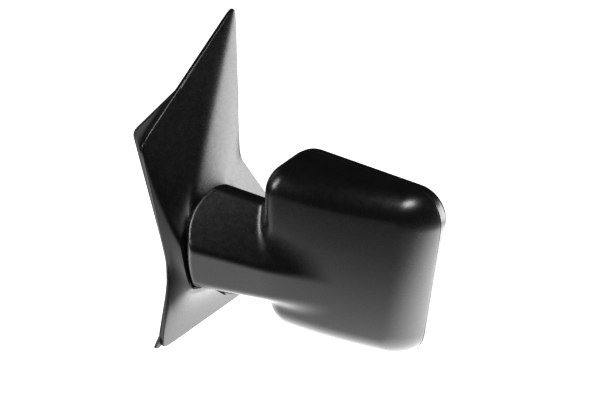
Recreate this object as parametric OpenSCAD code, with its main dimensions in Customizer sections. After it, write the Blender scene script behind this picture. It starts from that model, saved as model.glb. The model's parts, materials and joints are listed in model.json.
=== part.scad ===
/* [Head] */
// Distance from the door plane to the head's centre
head_x = 178; // [172:1:184]
// Distance of the rim plane behind the door face's reference point
head_y = 65; // [62:1:68]
// Height of the head's centre
head_z = 77; // [75:1:79]
// Turn of the head about the vertical
head_yaw = 12; // [10:1:14]
// Depth of the housing in front of the rim plane
head_depth = 56; // [54:1:60]
// Half height of the rim
rim_half_h = 98; // [94:1:102]
// Half width of the rim, inboard side
rim_in = 92; // [90:1:94]
// Half width of the rim, outboard side at the top
rim_out = 101; // [98:1:104]
// Corner radius of the rim
rim_r = 35; // [32:1:38]
// Radius of the rounded front edge
front_r = 24; // [20:1:28]
// Wall thickness of the mouldings
wall = 2.8; // [2.5:0.1:3.0]
// Depth of the bezel behind the rim plane
bezel_depth = 18; // [16:1:20]

/* [Arm] */
// Distance from the door plane to the arm's root
arm_x = 44; // [42:1:46]
// Length of the arm's loft, which ends inside the head
arm_len = 180; // [176:1:184]
// Distance of the fold axis from the door plane
pivot_x = 62; // [61:1:63]
// Distance of the fold axis behind the reference point
pivot_y = -6; // [-7:1:-5]
// Radius of the arm's round root end
root_r = 51; // [50.5:0.5:51.5]

/* [Sail] */
// Thickness of the cover's edge flange off the door plane
sail_face = 11; // [10:0.5:12]
// Lean of the upper sail toward the cabin
tumblehome = 12; // [10:1:14]
// Height at which the sail starts to lean
lean_z = 16; // [14:1:18]
// Rise of the cover at the boss around the arm
boss_rise = 25; // [23:1:26]

/* [Glass] */
// Gap between the glass outline and the rim outline
glass_inset = 15; // [14:0.5:16]
// Thickness of the glass
glass_t = 2.2; // [2:0.1:2.5]
// Radius of curvature of the convex glass
glass_curve = 1400; // [1200:50:1800]
// Distance of the adjusting screws from the glass pivot
screw_arm = 27; // [26.5:0.5:27.5]

/* [Mounting] */
// Pitch of the two lower bolts
bolt_pitch = 80; // [76:1:84]
// Clearance hole of the bolts
bolt_d = 6.6; // [6.4:0.1:7]

/* [Hidden] */
$fn = 64;

BLACK = [0.05, 0.05, 0.055];
DARK = [0.12, 0.12, 0.13];
STEEL = [0.62, 0.63, 0.65];
BRASS = [0.72, 0.58, 0.28];
WHITE = [0.9, 0.9, 0.88];
GLASS = [0.75, 0.8, 0.85];
e = 0.01;

// ---- outlines: the convex hull of round corners [x, y, r], as arcs joined by tangents ----
function tangent(a, b) =
    atan2(b[1] - a[1], b[0] - a[0]) - acos((a[2] - b[2]) / norm([b[0] - a[0], b[1] - a[1]]));
function turn(a, b) = a + ((b - a) % 360 + 360) % 360;
function corner_outline(cs, off, steps) = [
    for (i = [0:len(cs) - 1])
        let (
            c = cs[i],
            a = tangent(cs[(i + len(cs) - 1) % len(cs)], c),
            b = turn(a, tangent(c, cs[(i + 1) % len(cs)])))
        for (k = [0:steps])
            let (q = a + (b - a) * k / steps)
            [c[0] + (c[2] + off) * cos(q), c[1] + (c[2] + off) * sin(q)]];
// a loop of corners, each rounded off from a distance d along its sides
function soften(ps, d) = [
    for (i = [0:len(ps) - 1])
        let (
            p = ps[i],
            u = ps[(i + len(ps) - 1) % len(ps)] - p,
            v = ps[(i + 1) % len(ps)] - p)
        for (t = [0:0.25:1])
            p + u / norm(u) * d * pow(1 - t, 2) + v / norm(v) * d * t * t];
function mix(a, b, t) = a + (b - a) * t;
function mean(ps) = [for (p = ps) 1] * ps / len(ps);

// a closed solid through rings of points, fanned shut at both ends; the rings run anticlockwise
// about the way they advance, or clockwise with flip
module ring_solid(rings, flip = false) {
    n = len(rings[0]);
    m = len(rings);
    points = concat([for (r = rings) each r], [mean(rings[0]), mean(rings[m - 1])]);
    sides = [for (j = [0:m - 2]) for (i = [0:n - 1])
        let (k = (i + 1) % n)
        each [[j * n + i, (j + 1) * n + k, j * n + k], [j * n + i, (j + 1) * n + i, (j + 1) * n + k]]];
    start = [for (i = [0:n - 1]) [m * n, i, (i + 1) % n]];
    end = [for (i = [0:n - 1]) [m * n + 1, (m - 1) * n + (i + 1) % n, (m - 1) * n + i]];
    faces = concat(sides, start, end);
    polyhedron(points, flip ? [for (f = faces) [f[0], f[2], f[1]]] : faces, convexity = 6);
}

// ---- frames ----
// head frame: X outboard along the rim, Y rearward out of the glass, Z up
module in_head() translate([head_x, head_y, head_z]) rotate([0, 0, head_yaw]) children();
// the same frame turned so that Z points rearward out of the glass and Y points down
module in_glass() in_head() rotate([-90, 0, 0]) children();
module at_pivot() translate([pivot_x, pivot_y, 0]) children();
to_pivot = [pivot_x - head_x, pivot_y - head_y];
pivot_u = to_pivot[0] * cos(head_yaw) + to_pivot[1] * sin(head_yaw);

// ---- head ----
RIM = [
    [-rim_in + rim_r + 2, -rim_half_h + rim_r, rim_r],
    [rim_out - 17 - rim_r + 3, -rim_half_h + rim_r - 3, rim_r],
    [rim_out - rim_r, rim_half_h - 10 - rim_r, rim_r],
    [-rim_in + rim_r, rim_half_h - rim_r, rim_r]];
draft = 0.14;
function front_depth(u, w) = head_depth - 0.20 * u - 0.0014 * u * u - 0.0010 * (w - 20) * (w - 20);
// one ring of the bowl: the rim outline drawn in by inset, at a depth of front_depth - back
function bowl_ring(inset, back) = [
    for (p = corner_outline(RIM, -inset, 9)) [p[0], -(front_depth(p[0], p[1]) - back), p[1]]];
function flat_ring(inset, d) = [for (p = corner_outline(RIM, -inset, 9)) [p[0], d, p[1]]];
function bowl(t, start) =
    let (
        r = front_r - t,
        side = draft * (head_depth - front_r),
        last = bowl_ring(t + side + r, t))
    concat(
        [flat_ring(t, start)],
        [for (a = [0:15:90]) bowl_ring(t + side + r * (1 - cos(a)), t + r * (1 - sin(a)))],
        [for (s = [0.75, 0.5, 0.25]) [for (p = last)
            [p[0] * s, -(front_depth(p[0] * s, p[2] * s) - t), p[2] * s]]]);
module head_outer() in_head() ring_solid(bowl(0, 0));
module head_inner() in_head() ring_solid(bowl(wall, 3));

// ---- arm: a loft of four-cornered sections in planes of constant x ----
ROOT_SECTION = [[-40, 32, 12], [10, 30, 12], [0, 112, 14], [-45, 66, 12]];
HEAD_SECTION = [[30, 42, 12], [62, 40, 12], [48, 98, 14], [26, 60, 12]];
STATIONS = [[0, 0], [0.27, 0], [0.5, 0], [0.65, 1.5], [0.8, 4], [0.92, 9], [1.02, 16]];
function arm_section(t, sink) = [for (i = [0:3])
    mix(ROOT_SECTION[i], HEAD_SECTION[i], t) + [(i == 0 || i == 3) ? sink : 0, 0, 0]];
function arm_rings(t, reach) = [for (s = STATIONS)
    let (x = arm_x + arm_len * s[0] - (s[0] == 0 ? reach : 0))
    [for (p = corner_outline(arm_section((x - arm_x) / arm_len, s[1]), -t, 8)) [x, p[0], p[1]]]];
module arm_outer() {
    difference() {
        ring_solid(arm_rings(0, 40));
        root_trim(0);
    }
}
module arm_inner() {
    difference() {
        ring_solid(arm_rings(wall, 40));
        root_trim(-wall);
    }
}
// what lies beyond the arm's round root end
module root_trim(grow) {
    difference() {
        translate([-60, -150, -80]) cube([60 + pivot_x, 300, 240]);
        root_dome(grow);
    }
}
// the round end is turned about the fold axis: its reach at a height, then the solid itself
root_mid = 58;
root_over = 77;
function root_reach(z) = z > root_mid
    ? root_r * pow(max(1 - pow((z - root_mid) / root_over, 2.3), 0), 0.4545)
    : root_r - 3.7 * pow((root_mid - z) / 32, 2);
ROOT_LEVELS = [6, 20, 34, 46, 58, 72, 84, 94, 103, 111, 118, 124, 130];
module root_dome(grow) at_pivot() rotate_extrude($fn = 72) polygon(concat(
    [[0, -10], [root_reach(0) + grow, -10]],
    [for (z = ROOT_LEVELS) [root_reach(z) + grow, z + (z > 90 ? grow * (z - 90) / 38 : 0)]],
    [[0, 130 + grow]]));
// the carrier's plate: its rear face, and its thickness
plate_d = -36;
plate_t = 4;
// the arm's back, which comes off as a cover
split_d = -30;
module arm_back(gap) {
    difference() {
        in_head() translate([pivot_u - 90, split_d + gap, -120]) cube([180, 120, 240]);
        grown_head(gap);
    }
}
module grown_head(gap) in_head() ring_solid(concat([flat_ring(-gap, 20)], bowl(-gap, 0)));
foot_hole_d = 48;
module foot_hole() at_pivot() translate([0, 0, foot_top - 8]) cylinder(d = foot_hole_d, h = 19);
SHELL_SCREWS = [[0, 49], [0, -49], [-62, 0]];
// arm cover screws: place, and how far forward their posts reach
ARM_SCREWS = [[-98, 28, split_d], [-98, -24, plate_d]];

module head_shell() {
    color(BLACK) resize([0, 0, 0]) union() {
        difference() {
            union() {
                head_outer();
                difference() {
                    arm_outer();
                    arm_back(0);
                }
            }
            head_inner();
            arm_inner();
            foot_hole();
        }
        for (s = SHELL_SCREWS) shell_post(s);
        arm_post(ARM_SCREWS[0]);
    }
}
module arm_post(s) intersection() {
    in_head() translate([s[0], split_d - 0.05, s[1]]) rotate([90, 0, 0]) difference() {
        cylinder(d = 9, h = 60, $fn = 32);
        translate([0, 0, -1]) cylinder(d = 4.2, h = 14, $fn = 24);
    }
    arm_outer();
}
// a post from the front wall to the carrier, with a pilot hole
module shell_post(s) {
    intersection() {
        in_head() difference() {
            translate([s[0], plate_d - plate_t - 0.05, s[1]]) rotate([90, 0, 0]) cylinder(d = 10, h = 40, $fn = 32);
            translate([s[0], plate_d, s[1]]) rotate([90, 0, 0]) cylinder(d = 3.4, h = 16, $fn = 24);
        }
        union() {
            head_outer();
            arm_outer();
        }
    }
}
module arm_rear_cover() {
    color(BLACK) resize([0, 0, 0]) difference() {
        union() {
            intersection() {
                difference() {
                    arm_outer();
                    arm_inner();
                }
                arm_back(0.15);
            }
            for (s = ARM_SCREWS) intersection() {
                in_head() translate([s[0], s[2] + 0.1, s[1]]) rotate([-90, 0, 0]) cylinder(d = 13, h = 30, $fn = 32);
                arm_outer();
            }
        }
        foot_hole();
        for (s = ARM_SCREWS) in_head() translate([s[0], plate_d - 1, s[1]]) rotate([-90, 0, 0]) {
            cylinder(d = 4.6, h = 40, $fn = 32);
            translate([0, 0, split_d + 6 - plate_d]) cylinder(d = 9.4, h = 40, $fn = 32);
        }
    }
}
// bezel: the rear rim, rolled in toward the glass
module bezel() {
    turns = [for (a = [0:15:90]) a];
    outer = concat([flat_ring(0, 0.05)],
        [for (a = turns) flat_ring(9 * (1 - cos(a)), bezel_depth - 12 + 12 * sin(a))]);
    inner = [flat_ring(wall, -6), flat_ring(wall, bezel_depth - 11), flat_ring(wall + 1.5, bezel_depth - 5),
        flat_ring(glass_inset - 3.6, bezel_depth - 1.5), flat_ring(glass_inset - 3.6, bezel_depth + 5)];
    color(BLACK) resize([0, 0, 0]) difference() {
        in_head() ring_solid(outer, flip = true);
        in_head() ring_solid(inner, flip = true);
    }
}

// ---- sail ----
// corners of the door opening that the sail covers: lowest, rear, waist, kink, apex, front, waist
SAIL = [[-71.5, -62.5], [139, 2.5], [100, 64], [61, 131], [85, 296], [-65.5, 169], [-55.5, 37]];
BOSS = [[-47, 12], [26, 13], [27, 60], [22, 103], [-35, 93], [-52, 68], [-51, 34]];
SAIL_STEPS = 6;
sail_back = 6.2;
function along(loop) = [
    for (i = [0:len(loop) - 1]) for (k = [0:SAIL_STEPS - 1])
        mix(loop[i], loop[(i + 1) % len(loop)], k / SAIL_STEPS)];
function lean(z) = -tan(tumblehome) * max(z - lean_z, 0);
sail_edge = along(SAIL);
boss_edge = along(BOSS);
function toward(p, c, d) = p + (c - p) * d / norm(c - p);
sail_mid = [-8, 66];
// ring t of the cover, from 0 at its edge to 1 at the boss, sunk by off behind the outer face
function sail_ring(t, off) = [for (i = [0:len(sail_edge) - 1])
    let (
        a = toward(sail_edge[i], sail_mid, off + 0.3),
        b = toward(boss_edge[i], sail_mid, off),
        p = mix(a, b, t),
        rise = 2 + boss_rise * (0.72 * t + 0.28 * pow(t, 5)))
    [sail_face - 2 + lean(p[1]) + rise * (t == 0 ? 0.5 : 1) - off, p[0], p[1]]];
module sail_solid(off, back) {
    foot = [for (p = sail_ring(0, off)) [lean(p[2]) + back, p[1], p[2]]];
    ring_solid(concat([foot], [for (t = [0, 0.02, 0.15, 0.3, 0.45, 0.6, 0.75, 0.88, 0.96, 1]) sail_ring(t, off)]));
}
// the recess for the arm's round end, open from its floor up
pocket_floor = 16;
module root_pocket() difference() {
    root_dome(3);
    translate([-100, -150, -100]) cube([300, 300, 100 + pocket_floor]);
}
module sail_cover() {
    color(BLACK) resize([0, 0, 0]) difference() {
        sail_solid(0, sail_back);
        sail_solid(wall, -30);
        root_pocket();
        // slot for the foot and its gusset
        translate([0, pivot_y - foot_w / 2 - 0.8, foot_low - foot_t - 0.8]) cube([80, foot_w + 1.6, 20]);
        translate([0, pivot_y - 4, foot_low - 17]) cube([50, 8, 14]);
    }
}
FRAME_CORNERS = [[-69, -53], [130, 5], [92, 62], [53, 130], [68, 272], [26, 231], [-67, 181.5], [-51.5, 42], [-52, 20]];
FRAME_OUTLINE = soften(FRAME_CORNERS, 7);
// in the leaning plane a height z becomes (z - lean_z) / cos(tumblehome)
module lower_sheet(over) intersection() {
    polygon(FRAME_OUTLINE);
    translate([-100, -140]) square([300, 140 + lean_z + over]);
}
module upper_sheet() intersection() {
    polygon([for (p = FRAME_OUTLINE) [p[0], (p[1] - lean_z) / cos(tumblehome)]]);
    translate([-100, 0]) square([300, 330]);
}
// stand a sheet drawn in [y, z] up on the door plane
module stand(x, t) translate([x, 0, 0]) rotate([90, 0, 90]) linear_extrude(t) children();
module lean_over() translate([0, 0, lean_z]) rotate([0, -tumblehome, 0]) children();
BOLTS = [[-bolt_pitch / 2, 0], [bolt_pitch / 2, 0]];
UPPER_STUD = [26, 150];
CABLE = [60, 24];
LOWER_WINDOW = [[-48, -40], [-8, -28], [-8, -17], [-48, -17]];
foot_top = 19.4;
// top of the foot's arm, which passes under the mirror arm
foot_low = 15.6;
foot_t = 6;
foot_w = 30;
post_d = 20;
post_head_d = 25;
post_head_t = 2;
module base_frame() {
    color(DARK) difference() {
        union() {
            stand(2, 4) lower_sheet(2);
            lean_over() stand(2, 4) upper_sheet();
            // pads that meet the door, with a land between the two lower ones
            translate([0, -bolt_pitch / 2, -6]) cube([2.5, bolt_pitch, 12]);
            for (b = BOLTS) translate([0, b[0], b[1]]) rotate([0, 90, 0]) cylinder(d = 24, h = 10);
            lean_over() translate([0, UPPER_STUD[0], UPPER_STUD[1]]) rotate([0, 90, 0]) cylinder(d = 20, h = 9);
            // ribs
            translate([5, -50, lean_z - 3]) cube([4, 146, 3]);
            lean_over() translate([5, -38, 60]) cube([3, 92, 3]);
            lean_over() translate([5, 22, 40]) cube([3, 3, 150]);
            // foot under the arm, with its gusset
            translate([5, pivot_y - foot_w / 2, foot_low - foot_t]) cube([pivot_x - 5, foot_w, foot_t]);
            at_pivot() translate([0, 0, foot_top - foot_t]) cylinder(d = foot_w, h = foot_t);
            translate([5, pivot_y - 3, foot_low - 41]) rotate([90, 0, 0]) translate([0, 0, -6]) linear_extrude(6)
                polygon([[0, 16], [0, 40], [26, 40], [26, 37]]);
            // lug at the lowest corner
            stand(2, 4) polygon([[-76.5, -60], [-72, -60.5], [-50, -44], [-60, -34], [-72.5, -53]]);
        }
        for (b = BOLTS) translate([-1, b[0], b[1]]) rotate([0, 90, 0]) cylinder(d = bolt_d, h = 20);
        lean_over() translate([-1, UPPER_STUD[0], UPPER_STUD[1]]) rotate([0, 90, 0]) cylinder(d = 5.5, h = 20);
        lean_over() translate([-1, CABLE[0], CABLE[1]]) rotate([0, 90, 0]) cylinder(d = 18, h = 20);
        at_pivot() translate([0, 0, foot_low - foot_t - 1]) cylinder(d = post_d, h = 20);
        at_pivot() translate([0, 0, foot_low - foot_t - 1])
            cylinder(d = post_head_d, h = foot_top - foot_low + 1 + post_head_t);
        for (p = PEGS) translate([1, p[0], p[1]]) rotate([0, 90, 0]) cylinder(d = 6, h = 20);
        stand(-1, 20) polygon(LOWER_WINDOW);
    }
}
PEGS = [[2, -12], [78, 8]];
module locating_pegs() {
    color(STEEL) for (p = PEGS) translate([-8, p[0], p[1]]) rotate([0, 90, 0]) {
        cylinder(d = 6, h = 14);
        translate([0, 0, 8]) cylinder(d = 10, h = 1.9);
    }
}
module door_gasket() {
    color(DARK) difference() {
        union() {
            stand(0.2, 1.6) lower_sheet(1.2);
            lean_over() stand(0.2, 1.6) upper_sheet();
        }
        for (b = BOLTS) translate([-1, b[0], b[1]]) rotate([0, 90, 0]) cylinder(d = 25, h = 20);
        for (p = PEGS) translate([-1, p[0], p[1]]) rotate([0, 90, 0]) cylinder(d = 12, h = 20);
        stand(-1, 5) polygon(LOWER_WINDOW);
        translate([-1, -bolt_pitch / 2, -6.5]) cube([5, bolt_pitch, 13]);
        // one window behind the lean, which also clears the grommet and the upper stud
        lean_over() stand(-1, 5) polygon([[-43, 22], [76, 14], [46, 112], [50, 190], [-52, 132]]);
    }
}
module cover_clips() {
    clips = [[46, 166], [-48, 142], [50, 240]];
    color(WHITE) for (c = clips) lean_over() translate([6, c[0], c[1] - lean_z]) rotate([0, 90, 0]) {
        cylinder(d = 9, h = 1.2);
        cylinder(d = 5, h = 4.5);
    }
}
module cable_grommet() {
    color(DARK) lean_over() translate([0.5, CABLE[0], CABLE[1]]) rotate([0, 90, 0]) difference() {
        union() {
            cylinder(d = 17.9, h = 10);
            translate([0, 0, 5.6]) cylinder(d = 24, h = 2.4);
        }
        translate([0, 0, -1]) cylinder(d = 8, h = 20);
    }
}

// ---- fold pivot, from the foot up ----
post_top = 96.2;
ring_top = 24.2;
hub_bottom = 29.4;
hub_top = 70.2;
hub_d = 40;
spring_top = 88.2;
ball = 4.5;
ball_z = ring_top + ball / 2 + 0.05;
module pivot_post() {
    color(STEEL) at_pivot() difference() {
        union() {
            translate([0, 0, foot_top - foot_t]) cylinder(d = post_head_d, h = post_head_t);
            translate([0, 0, foot_top - foot_t]) cylinder(d = post_d, h = post_top - foot_top + foot_t);
        }
        translate([0, 0, -60]) cylinder(d = 12, h = 200);
        translate([0, 0, spring_top + 2.5]) difference() {
            cylinder(d = 40, h = 1.6);
            translate([0, 0, -1]) cylinder(d = 18, h = 4);
        }
    }
}
module lower_detent_ring() {
    color(STEEL) at_pivot() difference() {
        translate([0, 0, foot_top]) cylinder(d = 40, h = ring_top - foot_top);
        translate([0, 0, foot_top - 1]) cylinder(d = post_d, h = 10);
        for (k = [0:5]) rotate(k * 60) translate([15, 0, ring_top + 1.7]) sphere(d = 5);
    }
}
module upper_detent_ring() {
    color(STEEL) at_pivot() difference() {
        translate([0, 0, ring_top + 0.4]) cylinder(d = hub_d, h = hub_bottom - ring_top - 0.4);
        translate([0, 0, ring_top - 1]) cylinder(d = post_d + 0.6, h = 10);
        for (k = [0:2]) rotate(k * 120) translate([15, 0, ball_z]) sphere(d = ball);
        for (k = [0:2]) rotate(k * 120) translate([15, 0, ring_top]) cylinder(d = ball, h = ball_z - ring_top);
    }
}
module detent_balls() {
    color(STEEL) at_pivot() for (k = [0:2]) rotate(k * 120) translate([15, 0, ball_z]) sphere(d = ball);
}
module pivot_bushes() {
    color(BRASS) at_pivot() for (z = [hub_bottom, hub_top - 14]) translate([0, 0, z]) difference() {
        cylinder(d = 24, h = 14);
        translate([0, 0, -1]) cylinder(d = post_d + 0.08, h = 16);
    }
}
coil_d = 27;
wire_d = 3.6;
coil_turns = 4;
module fold_spring() {
    sides = 10;
    steps = 28 * coil_turns;
    low = hub_top + wire_d / 2 + 0.05;
    rise = spring_top - hub_top - wire_d - 0.1;
    rings = [for (i = [0:steps])
        let (a = i * 360 / 28, z = low + rise * i / steps)
        [for (k = [0:sides - 1])
            let (q = k * 360 / sides)
            [(coil_d / 2 + wire_d / 2 * cos(q)) * cos(a), (coil_d / 2 + wire_d / 2 * cos(q)) * sin(a),
                z + wire_d / 2 * sin(q)]]];
    color(STEEL) at_pivot() ring_solid(rings, flip = true);
}
module spring_washer() {
    color(STEEL) at_pivot() translate([0, 0, spring_top]) difference() {
        cylinder(d = 32, h = 2.5);
        translate([0, 0, -1]) cylinder(d = post_d + 0.5, h = 5);
    }
}
module retaining_ring() {
    color(STEEL) at_pivot() translate([0, 0, spring_top + 2.55]) difference() {
        cylinder(d = 26, h = 1.5);
        translate([0, 0, -1]) cylinder(d = 18, h = 4);
        translate([0, -3, -1]) cube([20, 6, 4]);
    }
}

// ---- carrier: the casting that carries everything from the hub to the head ----
SHELL_TABS = [[0, 49], [0, -49]];
// a bore through the carrier's plate along the head's depth
module plate_bore(u, w, d) {
    in_head() translate([u, plate_d + 1, w]) rotate([90, 0, 0]) cylinder(d = d, h = plate_t + 2, $fn = 32);
}
module carrier() {
    color(STEEL) difference() {
        union() {
            at_pivot() translate([0, 0, hub_bottom]) cylinder(d = hub_d, h = hub_top - hub_bottom);
            in_head() translate([pivot_u, plate_d - plate_t, -42]) cube([-pivot_u, plate_t, 38]);
            in_head() translate([pivot_u, plate_d - 14, -46]) cube([52, 14, 4]);
            in_head() translate([pivot_u, plate_d - 14, -9]) cube([52, 14, 4]);
            in_head() translate([0, plate_d, 0]) rotate([90, 0, 0]) cylinder(r = 40, h = plate_t);
            for (s = SHELL_TABS) in_head() translate([s[0], plate_d, s[1]]) rotate([90, 0, 0])
                cylinder(r = 7, h = plate_t);
            in_head() translate([-68, plate_d - plate_t, -8]) cube([40, plate_t, 16]);
            in_head() translate([-7, plate_d - plate_t, -49]) cube([14, plate_t, 98]);
        }
        at_pivot() translate([0, 0, hub_bottom - 1]) cylinder(d = post_d + 1, h = 80);
        at_pivot() translate([0, 0, hub_bottom - 1]) cylinder(d = 24, h = 15);
        at_pivot() translate([0, 0, hub_top - 14]) cylinder(d = 24, h = 20);
        // room for the spring above the hub
        at_pivot() translate([0, 0, hub_top]) cylinder(d = hub_d, h = 40);
        for (s = SHELL_SCREWS) plate_bore(s[0], s[1], 4.4);
        for (s = CASE_SCREWS) plate_bore(s[0], s[1], 3);
        plate_bore(ARM_SCREWS[1][0], ARM_SCREWS[1][1], 4.2);
        plate_bore(-8, 8, 12);
    }
}
module shell_screws() {
    color(STEEL) for (s = SHELL_SCREWS) in_head() translate([s[0], plate_d, s[1]]) rotate([90, 0, 0]) {
        cylinder(d = 4, h = 3.9, $fn = 24);
        cylinder(d = 3.1, h = 10, $fn = 24);
        translate([0, 0, -2.2]) difference() {
            cylinder(d = 7.4, h = 2.2, $fn = 32);
            translate([0, 0, -1]) cylinder(d = 3, h = 2.4, $fn = 6);
        }
    }
}
module arm_cover_screws() {
    color(STEEL) for (s = ARM_SCREWS) in_head() translate([s[0], split_d + 5.05, s[1]]) rotate([90, 0, 0]) {
        cylinder(d = 4, h = 12, $fn = 24);
        translate([0, 0, -2.4]) difference() {
            cylinder(d = 8, h = 2.4, $fn = 32);
            translate([0, 0, -1]) cylinder(d = 3.4, h = 2.4, $fn = 6);
        }
    }
}

// ---- actuator, in the glass frame: Z rearward, Y down, pivot of the glass at pivot_h ----
pivot_h = -6;
case_r = 42;
case_front = -36;
case_rear = -16;
lid_t = 2.2;
gear_h = -29;
gear_t = 5;
worm_off = 15;
worm_h = gear_h + gear_t / 2;
CASE_SCREWS = [[24, 24], [-27, -20], [26, -22], [-24, 28]];
// glass-frame positions of the tilt screw (above) and the pan screw (outboard)
TILT = [0, -screw_arm];
PAN = [screw_arm, 0];
module actuator_case() {
    color(DARK) in_glass() difference() {
        union() {
            difference() {
                translate([0, 0, case_front]) cylinder(r = case_r, h = case_rear - lid_t - case_front);
                translate([0, 0, case_front + 2]) cylinder(r = case_r - 2, h = 30);
            }
            for (s = CASE_SCREWS) translate([s[0], -s[1], case_front]) cylinder(d = 7, h = 8, $fn = 32);
            for (p = [TILT, PAN]) translate([p[0], p[1], case_front]) difference() {
                cylinder(d = 14, h = gear_h - case_front - 0.2);
                translate([0, 0, 2]) cylinder(d = 8.6, h = 10);
            }
        }
        for (s = CASE_SCREWS) translate([s[0], -s[1], case_front - 1]) cylinder(d = 3.3, h = 20, $fn = 32);
        translate([-8, -8, case_front - 1]) cylinder(d = 11, h = 5);
    }
}
module ear(w) {
    difference() {
        lock_ear(w);
        translate([-30, 0, 0]) rotate([0, 90, 0]) cylinder(d = 4.1, h = 60, $fn = 48);
    }
}
module lock_ear(w) {
    for (s = [-1, 1]) translate([s * 12 - 2, 0, 0]) {
        rotate([0, 90, 0]) cylinder(d = 8, h = 4, $fn = 48);
        translate([0, -4, w]) cube([4, 8, -w]);
    }
}
module actuator_cover() {
    color(DARK) in_glass() difference() {
        union() {
            translate([0, 0, case_rear - lid_t]) cylinder(r = case_r, h = lid_t);
            translate([0, 0, pivot_h]) ear(case_rear - pivot_h - 1);
            for (p = [TILT, PAN]) translate([p[0], p[1], case_rear - 1]) cylinder(d = 12, h = 2.5);
        }
        for (p = [TILT, PAN]) translate([p[0], p[1], -30]) cylinder(d = 7.9, h = 30);
    }
}
module actuator_screws() {
    color(STEEL) in_glass() for (s = CASE_SCREWS) translate([s[0], -s[1], 0]) {
        translate([0, 0, case_front - plate_t]) cylinder(d = 2.9, h = plate_t + 8, $fn = 24);
        translate([0, 0, case_front + 8.05]) cylinder(d = 5.6, h = 2, $fn = 32);
    }
}
// a small can motor along X, its shaft end toward the worm
module motor() {
    translate([-33, 0, 0]) rotate([0, 90, 0]) {
        cylinder(d = 12, h = 21, $fn = 48);
        cylinder(d = 5, h = 22.5, $fn = 32);
    }
    translate([-34.2, -2, -3]) cube([1.3, 4, 6]);
}
module motor_tilt() color(STEEL) in_glass() translate([0, -worm_off, worm_h]) motor();
module motor_pan() color(STEEL) in_glass() translate([worm_off, 0, worm_h]) rotate(-90) motor();
// a two-start worm along X, as a core with a helical ridge
module worm() {
    color(WHITE) {
        difference() {
            translate([-9.5, 0, 0]) rotate([0, 90, 0]) cylinder(d = 4.6, h = 19, $fn = 48);
            translate([-10, 0, 0]) rotate([0, 90, 0]) cylinder(d = 2, h = 6, $fn = 24);
        }
        for (k = [-2:2]) translate([k * 2.83, 0, 0]) rotate([0, 90, 0]) rotate_extrude($fn = 64)
            polygon([[2, -0.9], [3.2, -0.35], [3.2, 0.35], [2, 0.9]]);
    }
}
module worm_tilt() in_glass() translate([0, -worm_off, worm_h]) worm();
module worm_pan() in_glass() translate([worm_off, 0, worm_h]) rotate(-90) worm();
tooth_n = 20;
module gear_nut(turn_by) {
    color(WHITE) difference() {
        union() {
            rotate(turn_by) linear_extrude(gear_t) polygon([for (i = [0:tooth_n - 1])
                let (a = i * 360 / tooth_n)
                each [
                    [7.9 * cos(a), 7.9 * sin(a)],
                    [7.9 * cos(a + 6), 7.9 * sin(a + 6)],
                    [8.7 * cos(a + 8), 8.7 * sin(a + 8)],
                    [8.7 * cos(a + 13), 8.7 * sin(a + 13)]]]);
            cylinder(d = 12, h = gear_t + 3);
        }
        translate([0, 0, -1]) cylinder(d = 7.9, h = 20);
    }
}
module gear_nut_tilt() in_glass() translate([TILT[0], TILT[1], gear_h]) gear_nut(0);
module gear_nut_pan() in_glass() translate([PAN[0], PAN[1], gear_h]) gear_nut(0);
rod_d = 7.8;
ball_d = 9;
module plunger() {
    color(WHITE) {
        translate([0, 0, case_front + 5.6]) cylinder(d = rod_d, h = pivot_h - 4 - case_front - 5.6);
        translate([0, 0, pivot_h - 5]) cylinder(d = 4.4, h = 5);
        translate([0, 0, pivot_h]) sphere(d = ball_d);
    }
}
module plunger_tilt() in_glass() translate([TILT[0], TILT[1], 0]) plunger();
module plunger_pan() in_glass() translate([PAN[0], PAN[1], 0]) plunger();
module gimbal_cross() {
    color(WHITE) in_glass() translate([0, 0, pivot_h]) {
        translate([-4.5, -4.5, -3]) cube([9, 9, 6]);
        translate([-14.5, 0, 0]) rotate([0, 90, 0]) cylinder(d = 4, h = 29, $fn = 48);
        translate([0, 14.5, 0]) rotate([90, 0, 0]) cylinder(d = 4, h = 29, $fn = 48);
    }
}

// ---- glass ----
holder_h = 2.5;
holder_t = 2.6;
pad_t = 0.5;
glass_h = holder_h + holder_t + pad_t;
// outline of the glass in the glass frame, where Y points down
module glass_outline(grow) {
    mirror([0, 1]) polygon(corner_outline(RIM, grow - glass_inset, 12));
}
// a slab of the glass outline between two spheres of the glass's curvature
module curved_slab(front, t, grow) {
    intersection() {
        translate([0, 0, -20]) linear_extrude(60) glass_outline(grow);
        difference() {
            translate([0, 0, front + t - glass_curve]) sphere(r = glass_curve, $fn = 200);
            translate([0, 0, front - glass_curve]) sphere(r = glass_curve, $fn = 200);
        }
    }
}
module glass_holder() {
    color(BLACK) in_glass() difference() {
        union() {
            curved_slab(holder_h, holder_t, -0.7);
            // ears for the upright pin of the cross
            translate([0, 0, pivot_h]) rotate(90) difference() {
                for (s = [-1, 1]) translate([s * 12 - 2, 0, 0]) {
                    rotate([0, 90, 0]) cylinder(d = 8, h = 4, $fn = 48);
                    translate([0, -4, 0]) cube([4, 8, holder_h - pivot_h + 0.5]);
                }
                translate([-30, 0, 0]) rotate([0, 90, 0]) cylinder(d = 4.1, h = 60, $fn = 48);
            }
            // cups for the plungers' balls
            for (p = [TILT, PAN]) translate([p[0], p[1], pivot_h - 2.2]) cylinder(d = 15, h = holder_h - pivot_h + 2.4);
        }
        for (p = [TILT, PAN]) translate([p[0], p[1], pivot_h]) {
            sphere(d = ball_d + 1.2);
            translate([0, 0, -10]) cylinder(d = 9, h = 10);
        }
    }
}
module heater_pad() {
    color([0.75, 0.4, 0.2]) in_glass() curved_slab(holder_h + holder_t, pad_t, -3);
}
module mirror_glass() {
    color(GLASS) in_glass() curved_slab(glass_h, glass_t, 0.6);
}

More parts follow.
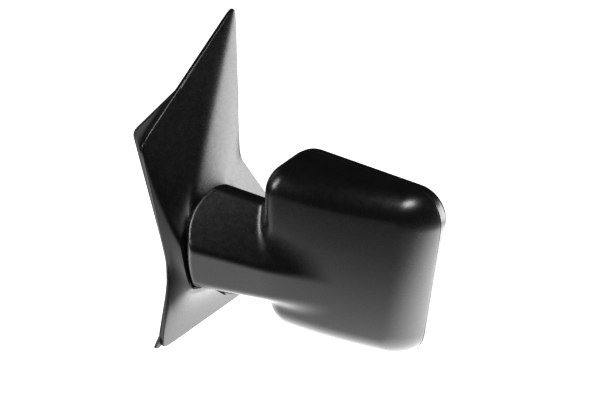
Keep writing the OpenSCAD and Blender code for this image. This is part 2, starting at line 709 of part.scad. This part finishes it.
base_frame();
sail_cover();
door_gasket();
cover_clips();
locating_pegs();
cable_grommet();
pivot_post();
lower_detent_ring();
upper_detent_ring();
detent_balls();
pivot_bushes();
fold_spring();
spring_washer();
retaining_ring();
carrier();
head_shell();
arm_rear_cover();
bezel();
shell_screws();
arm_cover_screws();
actuator_case();
actuator_cover();
actuator_screws();
motor_tilt();
motor_pan();
worm_tilt();
worm_pan();
gear_nut_tilt();
gear_nut_pan();
plunger_tilt();
plunger_pan();
gimbal_cross();
glass_holder();
heater_pad();
mirror_glass();
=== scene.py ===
"""Car side mirror: moulded skins, finishes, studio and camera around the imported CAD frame.

Shapes are worked out in millimetres in the CAD frame (X outboard, Y rearward, Z up) and turned into
metres when a mesh is made.
"""

import json
import math

import bpy
import numpy as np
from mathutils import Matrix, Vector


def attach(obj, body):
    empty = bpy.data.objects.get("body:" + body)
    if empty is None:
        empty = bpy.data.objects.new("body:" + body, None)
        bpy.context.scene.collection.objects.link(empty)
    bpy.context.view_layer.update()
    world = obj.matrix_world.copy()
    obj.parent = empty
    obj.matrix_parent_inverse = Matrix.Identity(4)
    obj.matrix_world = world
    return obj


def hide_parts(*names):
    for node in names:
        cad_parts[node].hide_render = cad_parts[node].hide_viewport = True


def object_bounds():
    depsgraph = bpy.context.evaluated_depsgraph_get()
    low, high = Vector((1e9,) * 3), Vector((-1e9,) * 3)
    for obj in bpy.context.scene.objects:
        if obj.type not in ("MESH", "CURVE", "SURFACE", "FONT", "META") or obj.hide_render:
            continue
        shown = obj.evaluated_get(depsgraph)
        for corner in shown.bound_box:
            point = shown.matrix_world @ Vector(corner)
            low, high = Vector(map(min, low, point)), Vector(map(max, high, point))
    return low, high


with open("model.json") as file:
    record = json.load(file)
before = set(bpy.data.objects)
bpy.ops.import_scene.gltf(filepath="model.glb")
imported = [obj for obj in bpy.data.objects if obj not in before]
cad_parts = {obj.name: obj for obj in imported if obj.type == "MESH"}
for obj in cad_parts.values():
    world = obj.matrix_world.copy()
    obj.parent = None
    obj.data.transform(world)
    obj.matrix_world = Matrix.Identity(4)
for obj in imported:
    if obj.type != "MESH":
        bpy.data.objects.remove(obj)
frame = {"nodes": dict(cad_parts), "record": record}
cad_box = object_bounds()

MM = 0.001
BASE, ARM = "door_base", "arm_and_head"


def joint(name):
    """The joint of this name in the part's record."""
    return next(j for j in frame["record"]["behaviour"]["joints"] if j["name"] == name)


# ---------------------------------------------------------------- driving dimensions (mm)
GLASS_TILT, FOLD = joint("glass_tilt"), joint("fold")
FOLD_XY = np.array(FOLD["pos_m"][:2]) / MM
U = np.array(GLASS_TILT["axis"])                 # along the head's width, outboard
W = np.array([0.0, 0.0, 1.0])
D = np.cross(W, U)                               # out of the glass, rearward
# the glass pivot's place along D from the rim's plane, then the middle of that plane
PIVOT_DEPTH = -6.0
HEAD = np.array(GLASS_TILT["pos_m"]) / MM - PIVOT_DEPTH * D

WALL = 2.8
# the head's front: its depth from the rim, its slope along U, and its crowns along U and W
HEAD_DEPTH, HEAD_SLOPE = 56.0, 0.20
CROWN_U, CROWN_W, CROWN_W_MID = 0.0014, 0.0010, 20
FRONT_R = 24.0
DRAFT = 0.14
# corners as (place, place, radius), anticlockwise
RIM = [(-55, -63, 35), (52, -66, 35), (66, 53, 35), (-57, 63, 35)]
BEZEL_DEPTH = 18.0
# where the arm's back cover starts, and how far it stays off the head
SPLIT_D, COVER_OFF_HEAD, COVER_GAP = -30.0, 4.0, 0.2

# the arm is lofted from a section at ARM_X to one ARM_LEN further out, and carried on past both
ARM_X, ARM_LEN, ARM_END_X = 44.0, 180.0, 250
LOFT_FROM, LOFT_TO = -0.25, 1.3
ARM_ROOT = [(-40, 32, 12), (10, 30, 12), (0, 112, 14), (-45, 66, 12)]
ARM_HEAD = [(30, 42, 12), (62, 40, 12), (48, 98, 14), (26, 60, 12)]
ARM_EDGE_R = 1.6
# the arm's front corners sink into the head: how far, from which share of its length, over what share
FRONT_CORNERS = (0, 3)
SINK, SINK_FROM, SINK_OVER = 34, 0.45, 0.5
# the arm's round root end: radius, widest height, and its dome above and draw-in below
ROOT_R, ROOT_MID, ROOT_OVER = 51.0, 58.0, 77.0
DOME_POWER, DOME_ROOT = 2.3, 0.4545
ROOT_DRAW_IN, ROOT_UNDER, ROOT_LOW = 3.7, 32, 60
SKIN_BLEND = 11.0
GRID_STEP = 1.8
SHARP_EDGE = math.radians(38)
# factors that bring each field nearer to true distance
FRONT_SCALE, ARM_SCALE, END_SCALE = 0.93, 0.88, 0.9


# ---------------------------------------------------------------- distance fields
def hull_distance(p, q, corners):
    """Distance to the hull of round corners (x, y, r), listed anticlockwise."""
    far = np.full(np.broadcast(p, q).shape, -1e9)
    normals = []
    for i, (x1, y1, r1) in enumerate(corners):
        x2, y2, r2 = corners[(i + 1) % len(corners)]
        dx, dy = x2 - x1, y2 - y1
        length = np.hypot(dx, dy)
        along = (r1 - r2) / length
        across = np.sqrt(np.maximum(1 - along * along, 0))
        nx = (dx * along + dy * across) / length
        ny = (dy * along - dx * across) / length
        normals.append((nx, ny))
        far = np.maximum(far, nx * (p - x1) + ny * (q - y1) - r1)
    for i, (x, y, r) in enumerate(corners):
        ax, ay = normals[i - 1]
        bx, by = normals[i]
        vx, vy = p - x, q - y
        inside = (ax * vy - ay * vx >= 0) & (vx * by - vy * bx >= 0)
        far = np.maximum(far, np.where(inside, np.hypot(vx, vy) - r, -1e9))
    return far


def smooth_max(a, b, k):
    h = np.clip(0.5 + 0.5 * (a - b) / k, 0, 1)
    return b + (a - b) * h + k * h * (1 - h)


def smooth_min(a, b, k):
    return -smooth_max(-a, -b, k)


def round_edge(a, b, r):
    """Where two half spaces meet, with the edge rounded to r."""
    a, b = a + r, b + r
    return np.minimum(np.maximum(a, b), 0) + np.hypot(np.maximum(a, 0), np.maximum(b, 0)) - r


def head_coordinates(p):
    q = p - HEAD
    return q @ U, q @ D, q @ W


def head_field(p):
    u, d, w = head_coordinates(p)
    depth = HEAD_DEPTH - HEAD_SLOPE * u - CROWN_U * u * u - CROWN_W * (w - CROWN_W_MID) ** 2
    side = hull_distance(u, w, RIM) + DRAFT * np.maximum(-d, 0)
    return round_edge(side, (-d - depth) * FRONT_SCALE, FRONT_R)


def arm_field(p):
    x, y, z = p[..., 0], p[..., 1], p[..., 2]
    t = np.clip((x - ARM_X) / ARM_LEN, LOFT_FROM, LOFT_TO)
    fade = SINK * np.clip((t - SINK_FROM) / SINK_OVER, 0, None) ** 2
    corners = []
    for i, (a, b) in enumerate(zip(ARM_ROOT, ARM_HEAD)):
        sink = fade if i in FRONT_CORNERS else 0
        across, up, radius = (start + (end - start) * t for start, end in zip(a, b))
        corners.append((across + sink, up, radius))
    body = hull_distance(y, z, corners) * ARM_SCALE
    to_axis = np.hypot(x - FOLD_XY[0], y - FOLD_XY[1])
    reach = root_reach(z)
    end = np.where(x < FOLD_XY[0], to_axis - reach, np.abs(y - FOLD_XY[1]) - reach)
    body = round_edge(body, end * END_SCALE, ARM_EDGE_R)
    return np.maximum(body, x - ARM_END_X)


def root_reach(z):
    """How far the arm's round end reaches from the fold axis at a height."""
    over = np.clip((z - ROOT_MID) / ROOT_OVER, 0, 0.9999)
    under = np.clip(ROOT_MID - z, 0, ROOT_LOW) / ROOT_UNDER
    return ROOT_R * (1 - over ** DOME_POWER) ** DOME_ROOT - ROOT_DRAW_IN * under ** 2


def skin_field(p):
    return smooth_min(head_field(p), arm_field(p), SKIN_BLEND)


# ---------------------------------------------------------------- meshing
def gradient(field, p, h=0.25):
    return np.stack([field(p + h * e) - field(p - h * e) for e in np.eye(3)], axis=-1) / (2 * h)


def settle(field, p, rounds=4):
    """Move points onto the field's zero surface."""
    for _ in range(rounds):
        g = gradient(field, p)
        g2 = np.maximum((g * g).sum(-1), 0.05)
        p = p - (field(p) / g2)[:, None] * g
    return p


def surface_net(field, low, high, step):
    """Quads on the field's zero surface, one vertex per crossed cell of a regular grid."""
    counts = np.ceil((high - low) / step).astype(int) + 1
    axes = [low[i] + step * np.arange(counts[i]) for i in range(3)]
    values = np.empty(counts, dtype=np.float32)
    for i, x in enumerate(axes[0]):
        grid = np.stack(np.meshgrid([x], axes[1], axes[2], indexing="ij"), axis=-1)
        values[i] = field(grid)[0]
    inside = values < 0
    corner_sum = sum(
        inside[i : counts[0] - 1 + i, j : counts[1] - 1 + j, k : counts[2] - 1 + k].astype(np.int8)
        for i in (0, 1) for j in (0, 1) for k in (0, 1))
    crossed = (corner_sum > 0) & (corner_sum < 8)
    index = np.full(crossed.shape, -1)
    index[crossed] = np.arange(crossed.sum())
    verts = low + step * (np.argwhere(crossed) + 0.5)
    quads = []
    for axis in range(3):
        a, b = (axis + 1) % 3, (axis + 2) % 3
        first = np.take(inside, range(counts[axis] - 1), axis)
        second = np.take(inside, range(1, counts[axis]), axis)
        for flip, hit in ((False, first & ~second), (True, ~first & second)):
            at = np.argwhere(hit)
            at = at[(at[:, a] > 0) & (at[:, b] > 0)]
            at = at[(at[:, a] < counts[a] - 1) & (at[:, b] < counts[b] - 1)]
            ring = []
            for da, db in ((1, 1), (0, 1), (0, 0), (1, 0)):
                cell = at.copy()
                cell[:, a] -= da
                cell[:, b] -= db
                ring.append(index[cell[:, 0], cell[:, 1], cell[:, 2]])
            quads.append(np.stack(ring[::-1] if flip else ring, axis=1))
    return settle(field, verts), np.concatenate(quads)


def to_triangles(faces):
    if faces.shape[1] == 3:
        return faces
    return np.concatenate([faces[:, [0, 1, 2]], faces[:, [0, 2, 3]]])


def clip(verts, faces, field):
    """Keep the part of a mesh where field(verts) < 0, cut cleanly along its zero line."""
    tris = to_triangles(faces)
    f = field(verts)
    f = np.where(np.abs(f) < 1e-6, 1e-6, f)
    inside = f[tris] < 0
    count = inside.sum(1)
    keep = [tris[count == 3]]
    new, made = [], {}

    def cut(i, j):
        key = (min(i, j), max(i, j))
        if key not in made:
            t = f[i] / (f[i] - f[j])
            made[key] = len(verts) + len(new)
            new.append(verts[i] + t * (verts[j] - verts[i]))
        return made[key]

    extra = []
    crossed = (count > 0) & (count < 3)
    for tri, side in zip(tris[crossed], inside[crossed]):
        ring = []
        for k in range(3):
            i, j = tri[k], tri[(k + 1) % 3]
            if side[k]:
                ring.append(i)
            if side[k] != side[(k + 1) % 3]:
                ring.append(cut(i, j))
        extra += [[ring[0], ring[k], ring[k + 1]] for k in range(1, len(ring) - 1)]
    if extra:
        keep.append(np.array(extra))
        verts = np.concatenate([verts, np.array(new)])
    faces = np.concatenate(keep)
    used, faces = np.unique(faces, return_inverse=True)
    return verts[used], faces.reshape(-1, 3)


def ring_faces(rings, count):
    """Quads between closed rings of count points each."""
    j, i = np.meshgrid(np.arange(rings - 1), np.arange(count), indexing="ij")
    k = (i + 1) % count
    quads = [j * count + i, j * count + k, (j + 1) * count + k, (j + 1) * count + i]
    return np.stack(quads, -1).reshape(-1, 4)


def make_piece(name, verts, faces, body, material, slot, stands_for=(), flip=False):
    mesh = bpy.data.meshes.new(name)
    if flip:
        faces = faces[:, ::-1]
    mesh.from_pydata((verts * MM).tolist(), [], faces.tolist())
    mesh.validate()
    mesh.shade_smooth()
    mesh.set_sharp_from_angle(angle=SHARP_EDGE)
    mesh.materials.append(material)
    piece = bpy.data.objects.new(name, mesh)
    bpy.context.collection.objects.link(piece)
    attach(piece, body)
    if stands_for:
        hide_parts(*stands_for)
    return piece


def apply_modifier(piece, kind, **settings):
    modifier = piece.modifiers.new(kind.lower(), kind)
    for key, value in settings.items():
        setattr(modifier, key, value)
    with bpy.context.temp_override(object=piece, active_object=piece, selected_objects=[piece]):
        bpy.ops.object.modifier_apply(modifier=modifier.name)


def thicken(piece, wall=WALL):
    apply_modifier(piece, "SOLIDIFY", thickness=wall * MM, offset=-1.0, use_even_offset=False)
    piece.data.set_sharp_from_angle(angle=SHARP_EDGE)


# ---------------------------------------------------------------- materials
def new_material(name, base, roughness, metallic=0.0):
    material = bpy.data.materials.new(name)
    material.use_nodes = True
    shader = material.node_tree.nodes["Principled BSDF"]
    shader.inputs["Base Color"].default_value = (*base, 1)
    shader.inputs["Roughness"].default_value = roughness
    shader.inputs["Metallic"].default_value = metallic
    return material, material.node_tree, shader


def noise(tree, scale, detail=2.0, rough=0.5):
    place = tree.nodes.new("ShaderNodeTexCoord")
    node = tree.nodes.new("ShaderNodeTexNoise")
    node.inputs["Scale"].default_value = scale
    node.inputs["Detail"].default_value = detail
    node.inputs["Roughness"].default_value = rough
    tree.links.new(place.outputs["Object"], node.inputs["Vector"])
    return node.outputs["Fac"]


def spread(tree, value, low, high, start=0.3, end=0.7):
    """Map a noise value to a range."""
    node = tree.nodes.new("ShaderNodeMapRange")
    node.inputs["From Min"].default_value = start
    node.inputs["From Max"].default_value = end
    node.inputs["To Min"].default_value = low
    node.inputs["To Max"].default_value = high
    tree.links.new(value, node.inputs["Value"])
    return node.outputs["Result"]


def tint(tree, value, dark, light):
    node = tree.nodes.new("ShaderNodeValToRGB")
    node.color_ramp.elements[0].position = 0.35
    node.color_ramp.elements[1].position = 0.65
    node.color_ramp.elements[0].color = (*dark, 1)
    node.color_ramp.elements[1].color = (*light, 1)
    tree.links.new(value, node.inputs["Fac"])
    return node.outputs["Color"]


def bump(tree, shader, height, strength, distance):
    node = tree.nodes.new("ShaderNodeBump")
    node.inputs["Strength"].default_value = strength
    node.inputs["Distance"].default_value = distance
    tree.links.new(height, node.inputs["Height"])
    tree.links.new(node.outputs["Normal"], shader.inputs["Normal"])


def moulded_plastic(name, dark, light, rough, grain, depth):
    material, tree, shader = new_material(name, dark, rough[0])
    tree.links.new(tint(tree, noise(tree, 45, 3), dark, light), shader.inputs["Base Color"])
    tree.links.new(spread(tree, noise(tree, 160, 4, 0.6), *rough), shader.inputs["Roughness"])
    bump(tree, shader, noise(tree, grain, 3, 0.55), 0.5, depth)
    return material


def metal(name, dark, light, rough, grain, depth):
    material, tree, shader = new_material(name, dark, rough[0], 1.0)
    tree.links.new(tint(tree, noise(tree, 90, 3), dark, light), shader.inputs["Base Color"])
    tree.links.new(spread(tree, noise(tree, 400, 3), *rough), shader.inputs["Roughness"])
    bump(tree, shader, noise(tree, grain, 2), 0.4, depth)
    return material


# each: name, dark and light colour, roughness range, grain scale, grain depth (m)
SATIN_BLACK = moulded_plastic(
    "satin_black", (0.0035, 0.0035, 0.0040), (0.0050, 0.0050, 0.0055), (0.24, 0.30), 1500, 0.00004)
MATT_BLACK = moulded_plastic(
    "matt_black", (0.006, 0.006, 0.006), (0.010, 0.010, 0.010), (0.45, 0.58), 1100, 0.00010)
ACETAL = moulded_plastic("acetal", (0.78, 0.76, 0.70), (0.86, 0.84, 0.79), (0.35, 0.45), 900, 0.00005)
RUBBER = moulded_plastic(
    "rubber", (0.010, 0.010, 0.010), (0.018, 0.018, 0.017), (0.7, 0.85), 1600, 0.00012)
FOIL = moulded_plastic("heater_foil", (0.45, 0.22, 0.09), (0.62, 0.33, 0.15), (0.3, 0.4), 300, 0.00005)
ZINC = metal("zinc_plate", (0.55, 0.55, 0.54), (0.70, 0.70, 0.68), (0.25, 0.4), 700, 0.00003)
CASTING = metal("die_casting", (0.45, 0.46, 0.47), (0.58, 0.59, 0.60), (0.42, 0.58), 500, 0.00015)
BRONZE = metal("sintered_bronze", (0.42, 0.27, 0.12), (0.56, 0.38, 0.18), (0.4, 0.55), 1400, 0.0001)


def mirror_material():
    material, tree, shader = new_material("silvered_glass", (0.80, 0.83, 0.85), 0.02, 1.0)
    colour = tint(tree, noise(tree, 12, 2), (0.79, 0.82, 0.84), (0.82, 0.85, 0.87))
    tree.links.new(colour, shader.inputs["Base Color"])
    tree.links.new(spread(tree, noise(tree, 60, 2), 0.015, 0.03), shader.inputs["Roughness"])
    return material


MIRROR = mirror_material()
BY_SLOT = {
    "shell_plastic": SATIN_BLACK, "frame_plastic": MATT_BLACK, "white_plastic": ACETAL, "rubber": RUBBER,
    "steel": ZINC, "bronze": BRONZE, "cast_metal": CASTING, "heater": FOIL, "mirror": MIRROR}


def dress_cad_nodes():
    slots = {s["node"]: s["material_slot"] for s in frame["record"]["subparts"]}
    for node, obj in frame["nodes"].items():
        if node not in slots:
            continue
        material = BY_SLOT[slots[node]]
        if not obj.data.materials:
            obj.data.materials.append(material)
        for k in range(len(obj.material_slots)):
            obj.material_slots[k].link = "OBJECT"
            obj.material_slots[k].material = material


# ---------------------------------------------------------------- head, arm
def build_head_and_arm():
    # opposite corners of a box that holds the head and arm
    low = np.array([4.0, -64.0, -32.0])
    high = np.array([286.0, 122.0, 184.0])
    verts, faces = surface_net(skin_field, low, high, GRID_STEP)
    verts, faces = clip(verts, faces, lambda p: head_coordinates(p)[1])

    def cover_side(p):
        u, d, _ = head_coordinates(p)
        away = COVER_OFF_HEAD - head_field(p)
        return np.maximum(SPLIT_D - d, np.maximum(away, u))

    shell = clip(verts, faces, lambda p: COVER_GAP - cover_side(p))
    cover = clip(verts, faces, lambda p: cover_side(p) + COVER_GAP)
    shell = make_piece("head_shell_skin", *shell, ARM, SATIN_BLACK, "shell_plastic", ["head_shell"])
    thicken(shell)
    cover = make_piece("arm_back_skin", *cover, ARM, SATIN_BLACK, "shell_plastic", ["arm_rear_cover"])
    thicken(cover)


def rim_outline(inset, steps=22):
    """The rim's outline drawn in by inset, as (u, w) points, anticlockwise."""
    points = []
    n = len(RIM)

    def normal_angle(a, b):
        dx, dy = b[0] - a[0], b[1] - a[1]
        return math.atan2(dy, dx) - math.acos((a[2] - b[2]) / math.hypot(dx, dy))

    for i in range(n):
        c = RIM[i]
        a = normal_angle(RIM[i - 1], c)
        b = normal_angle(c, RIM[(i + 1) % n])
        b = a + (b - a) % (2 * math.pi)
        for k in range(steps + 1):
            q = a + (b - a) * k / steps
            points.append((c[0] + (c[2] - inset) * math.cos(q), c[1] + (c[2] - inset) * math.sin(q)))
    return np.array(points)


def head_ring(inset, d):
    uw = rim_outline(inset)
    return HEAD + uw[:, :1] * U + uw[:, 1:] * W + d * D


def build_bezel():
    # as (inset from the rim's outline, depth along D): out, round the outer edge, over the lip, back in
    round_in, round_deep = 9, 12
    lip, lip_r = 11.4, 0.9
    profile = [(WALL, 0.25), (0.5, 0.25), (0.1, 0.6)]
    for a in np.linspace(0.02, math.pi / 2, 14):
        profile.append((round_in * (1 - math.cos(a)), BEZEL_DEPTH - round_deep + round_deep * math.sin(a)))
    for a in np.linspace(0.2, math.pi / 2, 5):
        profile.append((lip - lip_r + lip_r * math.sin(a), BEZEL_DEPTH - lip_r + lip_r * math.cos(a)))
    profile += [(lip, BEZEL_DEPTH - 2.6), (lip - 1.2, BEZEL_DEPTH - 3.4)]
    profile += [(WALL + 2.0, BEZEL_DEPTH - 6), (WALL, BEZEL_DEPTH - 11)]
    rings = [head_ring(i, d) for i, d in profile]
    count = len(rings[0])
    faces = ring_faces(len(rings) + 1, count) % (len(rings) * count)
    verts = np.concatenate(rings)
    make_piece("bezel_skin", verts, faces, ARM, SATIN_BLACK, "shell_plastic", ["bezel"], flip=True)


# ---------------------------------------------------------------- sail
# the cover's outline and its raised boss, as matching (y, z) corners
SAIL = np.array(
    [(-71.5, -62.5), (139, 2.5), (100, 64), (61, 131), (85, 296), (-65.5, 169), (-55.5, 37)], float)
BOSS = np.array([(-47, 12), (26, 13), (27, 60), (22, 103), (-35, 93), (-52, 68), (-51, 34)], float)
SAIL_MID = np.array([-8.0, 66.0])
SAIL_FACE, SAIL_BACK = 11.0, 6.2
LEAN_Z = 16.0
TUMBLEHOME = math.radians(12)
BOSS_RISE = 25.0
SAIL_WALL = 2.4
# the pocket for the arm's round end, and the slot for the foot below it
POCKET_GAP, POCKET_FLOOR = 3.0, 16.0
SLOT_HALF, SLOT_LOW, SLOT_HIGH = 15.8, 8.8, 17
# heights between which the flank changes from its low profile to its high one
LOW_BLEND = (-40.0, 50.0)


def lean(z):
    """The door's inward lean at a height."""
    return -math.tan(TUMBLEHOME) * np.maximum(z - LEAN_Z, 0)


def walk(loop, steps):
    """Points along a loop of corners, the same number to each side."""
    t = np.arange(steps)[:, None] / steps
    return np.concatenate([loop[i] * (1 - t) + loop[(i + 1) % len(loop)] * t for i in range(len(loop))])


def smooth_loop(points, rounds):
    for _ in range(rounds):
        points = 0.5 * points + 0.25 * (np.roll(points, 1, 0) + np.roll(points, -1, 0))
    return points


def build_sail():
    steps = 36
    edge, boss = walk(SAIL, steps), smooth_loop(walk(BOSS, steps), 40)
    edge = smooth_loop(edge, 6)
    rings = []

    def ring(t, rise, draw_in=0.0, x=None):
        p = edge * (1 - t) + boss * t
        if draw_in:
            q = SAIL_MID - p
            p = p + q / np.linalg.norm(q, axis=1, keepdims=True) * draw_in
        x = SAIL_FACE - 2 + lean(p[:, 1]) + rise if x is None else x(p)
        return np.column_stack([x, p])

    def back(p):
        return lean(p[:, 1]) + SAIL_BACK

    rings.append(ring(0, 0, 0.3, back))
    for a in np.linspace(0, math.pi / 2, 6):
        rings.append(ring(0, 0.4 + 1.6 * math.sin(a), 0.3 + 1.6 * (1 - math.cos(a))))
    low = np.clip((LOW_BLEND[1] - edge[:, 1]) / (LOW_BLEND[1] - LOW_BLEND[0]), 0, 1)
    low = low * low * (3 - 2 * low)
    # 1 along the lower edge, where the flank is smoothed more broadly
    strip = smooth_loop(((edge[:, 1] < 0) & (edge[:, 0] < 130)).astype(float)[:, None], 60)
    for t in np.linspace(0.02, 1, 48):
        high_rise, low_rise = 0.72 * t + 0.28 * t ** 5, 0.15 * t + 0.85 * t ** 3
        flank = ring(t, 2 + BOSS_RISE * (high_rise * (1 - low) + low_rise * low))
        share = min(1, t * 3) * min(1, (1 - t) * 4 + 0.3)
        plain, broad = smooth_loop(flank, int(36 * share)), smooth_loop(flank, int(150 * share))
        rings.append(plain * (1 - strip) + broad * strip)
    top = rings[-1]
    for s in (0.96, 0.9, 0.8, 0.6, 0.4, 0.2):
        centre = top.mean(0)
        rings.append(centre + (top - centre) * s)
    count = len(edge)
    verts = np.concatenate(rings)
    faces = ring_faces(len(rings), count)

    def openings(p):
        reach = np.hypot(p[:, 0] - FOLD_XY[0], p[:, 1] - FOLD_XY[1])
        inside = np.minimum(root_reach(p[:, 2] - 2) + POCKET_GAP - reach, p[:, 2] - POCKET_FLOOR)
        slot = np.minimum(SLOT_HALF - np.abs(p[:, 1] - FOLD_XY[1]), p[:, 2] - SLOT_LOW)
        slot = np.minimum(slot, SLOT_HIGH - p[:, 2])
        return np.maximum(inside, slot)

    verts, faces = clip(verts, faces, openings)
    sail = make_piece("sail_skin", verts, faces, BASE, SATIN_BLACK, "shell_plastic", ["sail_cover"])
    thicken(sail, SAIL_WALL)


# ---------------------------------------------------------------- studio (m)
FLOOR_DROP, FLOOR_SIZE = 0.30, 24
FLOOR_WHITE, FLOOR_FAINT = 1.2, 0.02
# patches of light on the floor: centre, radius at full strength, radius where it ends, strength
FLOOR_GLOW = [((-0.5, 0.9), 0.9, 2.2, 2.2), ((0.55, 0.60), 0.25, 1.1, 6.0)]
WORLD_LIGHT = 0.012
LIGHTS_AIM = (0.12, 0.02, 0.09)
AZIMUTH, ELEVATION = math.radians(50.0), math.radians(21.7)
LENS, SENSOR, DISTANCE = 75, 36, 1.38
# a point on the sail, and the frame's middle across and up from it
REFERENCE = Vector((0.014, -0.018, 0.046))
MIDDLE_ACROSS, MIDDLE_UP = 0.1104, 0.0552


def area_light(name, place, size, power, size_y):
    data = bpy.data.lights.new(name, "AREA")
    data.shape = "RECTANGLE"
    data.size = size
    data.size_y = size_y
    data.energy = power
    light = bpy.data.objects.new(name, data)
    bpy.context.collection.objects.link(light)
    light.location = place
    light.rotation_euler = (Vector(LIGHTS_AIM) - Vector(place)).to_track_quat("-Z", "Y").to_euler()


def math_node(tree, kind, a, b=None):
    """A Math node on sockets or numbers; gives its output."""
    node = tree.nodes.new("ShaderNodeMath")
    node.operation = kind
    for socket, value in zip(node.inputs, (a, b)):
        if hasattr(value, "is_output"):
            tree.links.new(value, socket)
        elif value is not None:
            socket.default_value = value
    return node.outputs[0]


def glow(tree, x, y, centre, full, end, power):
    """A round patch of light on the floor, full out to one radius and gone at another."""
    dx = math_node(tree, "SUBTRACT", x, centre[0])
    dy = math_node(tree, "SUBTRACT", y, centre[1])
    square = math_node(tree, "ADD", math_node(tree, "MULTIPLY", dx, dx), math_node(tree, "MULTIPLY", dy, dy))
    fade = tree.nodes.new("ShaderNodeMapRange")
    fade.interpolation_type = "SMOOTHSTEP"
    fade.inputs["From Min"].default_value = full
    fade.inputs["From Max"].default_value = end
    fade.inputs["To Min"].default_value = power
    fade.inputs["To Max"].default_value = 0.0
    tree.links.new(math_node(tree, "SQRT", square), fade.inputs["Value"])
    return fade.outputs["Result"]


def floor_material():
    """White to the camera. To reflections and bounced light it is faint, with the FLOOR_GLOW patches."""
    material, tree, shader = new_material("pale_floor", (0.85, 0.85, 0.85), 0.9)
    place = tree.nodes.new("ShaderNodeNewGeometry")
    split = tree.nodes.new("ShaderNodeSeparateXYZ")
    tree.links.new(place.outputs["Position"], split.inputs["Vector"])
    x, y = split.outputs["X"], split.outputs["Y"]
    light = FLOOR_FAINT
    for centre, full, end, power in FLOOR_GLOW:
        light = math_node(tree, "ADD", glow(tree, x, y, centre, full, end, power), light)
    path = tree.nodes.new("ShaderNodeLightPath")
    mix = tree.nodes.new("ShaderNodeMix")
    tree.links.new(path.outputs["Is Camera Ray"], mix.inputs["Factor"])
    tree.links.new(light, mix.inputs["A"])
    mix.inputs["B"].default_value = FLOOR_WHITE
    shader.inputs["Emission Color"].default_value = (1, 1, 1, 1)
    tree.links.new(mix.outputs["Result"], shader.inputs["Emission Strength"])
    return material


def build_studio():
    floor_z = cad_box[0][2] - FLOOR_DROP
    bpy.ops.mesh.primitive_plane_add(size=FLOOR_SIZE, location=(0, 0, floor_z))
    floor = bpy.context.object
    floor.name = "floor"
    floor.data.materials.append(floor_material())

    bpy.context.scene.view_settings.view_transform = "Standard"
    world = bpy.data.worlds.new("studio")
    bpy.context.scene.world = world
    world.use_nodes = True
    background = world.node_tree.nodes["Background"]
    background.inputs["Color"].default_value = (1, 1, 1, 1)
    background.inputs["Strength"].default_value = WORLD_LIGHT

    area_light("left_box", (-1.25, -1.25, 1.0), 0.45, 16, 0.9)
    area_light("high_box", (0.85, -0.35, 1.55), 0.5, 16, 0.5)
    area_light("back_right_box", (1.15, 2.2, 0.20), 1.5, 65, 1.3)


def build_camera():
    across, up_share = math.cos(ELEVATION), math.sin(ELEVATION)
    back = Vector((math.sin(AZIMUTH) * across, -math.cos(AZIMUTH) * across, up_share))
    right = Vector((math.cos(AZIMUTH), math.sin(AZIMUTH), 0))
    up = back.cross(right)
    aim = REFERENCE + right * MIDDLE_ACROSS + up * MIDDLE_UP
    data = bpy.data.cameras.new("camera")
    data.lens = LENS
    data.sensor_width = SENSOR
    camera = bpy.data.objects.new("camera", data)
    bpy.context.collection.objects.link(camera)
    camera.location = aim + back * DISTANCE
    camera.rotation_euler = back.to_track_quat("Z", "Y").to_euler()
    bpy.context.scene.camera = camera


build_studio()
build_camera()
dress_cad_nodes()
build_head_and_arm()
build_bezel()
build_sail()
